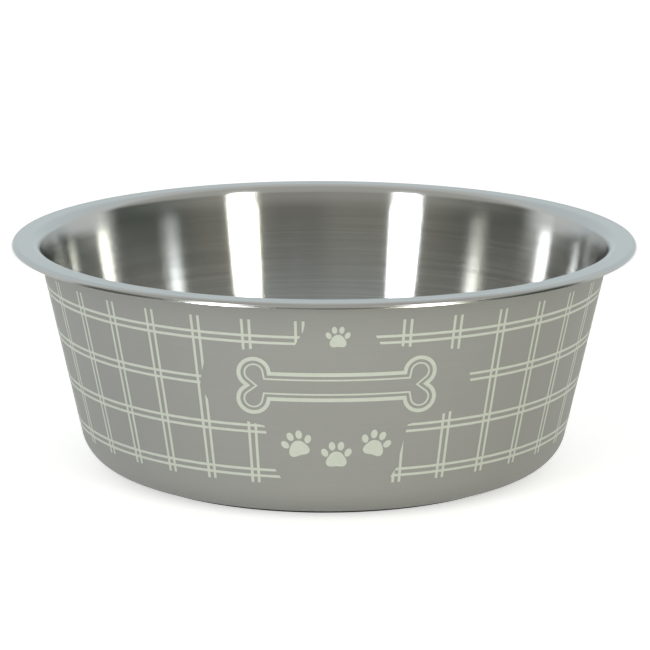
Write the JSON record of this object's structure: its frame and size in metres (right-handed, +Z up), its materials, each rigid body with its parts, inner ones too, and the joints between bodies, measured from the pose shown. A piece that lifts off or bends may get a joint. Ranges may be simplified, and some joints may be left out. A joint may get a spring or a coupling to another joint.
{
  "type": "dog bowl",
  "caption": "Round drawn steel dog bowl with a flat rim, a satin lacquered outside printed with a check, and a rubber foot ring that presses into the base.",
  "frame": {"origin": "on the floor, on the bowl's axis, at the underside of the foot ring", "axes": "+Z up along the bowl's axis; the printed front faces -Y"},
  "size_m": [0.2106, 0.2106, 0.0766],
  "materials": {
    "steel": "bare stainless steel, brushed round the bowl's axis",
    "lacquer": "satin baked lacquer, warm grey",
    "ink": "screen-printed ink, pale sage",
    "rubber": "matt dark grey rubber"
  },
  "bodies": {
    "foot_ring": {"nonslip_ring": "rubber"},
    "bowl": {"bowl_pan": "steel", "outer_lacquer": "lacquer"}
  },
  "joints": [
    {"name": "bowl_lift_off", "type": "slide", "parent": "foot_ring", "child": "bowl", "axis": [0, 0, 1], "range_m": [0, 0.03]}
  ]
}
